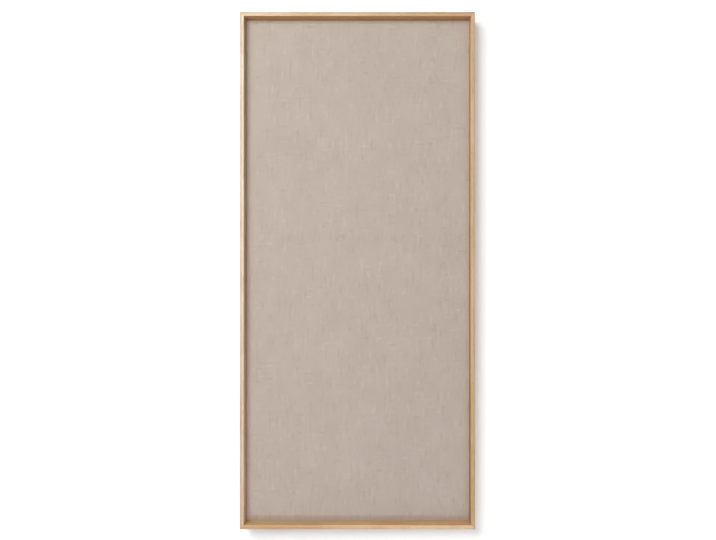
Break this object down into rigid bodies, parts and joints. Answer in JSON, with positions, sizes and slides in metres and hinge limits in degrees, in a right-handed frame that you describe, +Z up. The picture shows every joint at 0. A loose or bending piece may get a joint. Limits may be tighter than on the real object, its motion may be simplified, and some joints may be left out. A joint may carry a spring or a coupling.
{
  "type": "pin board",
  "caption": "Tall wall-hung pin board: a linen-covered soft pad set deep in a slim mitred oak frame, with folding D-ring hangers behind.",
  "frame": {"origin": "middle of the board's width and height, in the plane of the wall that it hangs on, which is the plane of the felt pads' back faces", "axes": "+Z up along the board's height, +X to the right as seen from the front, +Y towards the wall: the linen faces -Y"},
  "size_m": [0.455, 0.0361, 1],
  "materials": {
    "oak": "satin lacquered oak, straight grained, with eased edges",
    "linen": "natural linen, plain weave with slubs, stretched over the pad and its soft edges",
    "softboard": "soft wood-fibre board, matt and open",
    "hardboard": "brown hardboard, fine and slightly mottled",
    "zinc": "bright zinc-plated steel",
    "felt": "pressed wool felt, off-white"
  },
  "bodies": {
    "board": {"top_rail": "oak", "right_stile": "oak", "bottom_rail": "oak", "left_stile": "oak", "mitre_wedge_top_right": "zinc", "mitre_wedge_bottom_right": "zinc", "mitre_wedge_bottom_left": "zinc", "mitre_wedge_top_left": "zinc", "linen_cover": "linen", "pin_core": "softboard", "back_panel": "hardboard", "staple_left_1": "zinc", "staple_left_2": "zinc", "staple_left_3": "zinc", "staple_left_4": "zinc", "staple_left_5": "zinc", "staple_left_6": "zinc", "staple_left_7": "zinc", "staple_left_8": "zinc", "staple_right_1": "zinc", "staple_right_2": "zinc", "staple_right_3": "zinc", "staple_right_4": "zinc", "staple_right_5": "zinc", "staple_right_6": "zinc", "staple_right_7": "zinc", "staple_right_8": "zinc", "staple_top_1": "zinc", "staple_top_2": "zinc", "staple_top_3": "zinc", "staple_top_4": "zinc", "staple_bottom_1": "zinc", "staple_bottom_2": "zinc", "staple_bottom_3": "zinc", "staple_bottom_4": "zinc", "hanger_strap_left": "zinc", "hanger_strap_right": "zinc", "hanger_screw_left_upper": "zinc", "hanger_screw_left_lower": "zinc", "hanger_screw_right_upper": "zinc", "hanger_screw_right_lower": "zinc", "felt_pad_top_right": "felt", "felt_pad_bottom_right": "felt", "felt_pad_bottom_left": "felt", "felt_pad_top_left": "felt"},
    "left_ring": {"hanger_ring_left": "zinc"},
    "right_ring": {"hanger_ring_right": "zinc"}
  },
  "joints": [
    {"name": "left_ring_swing", "type": "hinge", "parent": "board", "child": "left_ring", "pos_m": [-0.1775, -0.00405, 0.38], "axis": [1, 0, 0], "range_deg": [0, 175]},
    {"name": "right_ring_swing", "type": "hinge", "parent": "board", "child": "right_ring", "pos_m": [0.1775, -0.00405, 0.38], "axis": [1, 0, 0], "range_deg": [0, 175]}
  ]
}
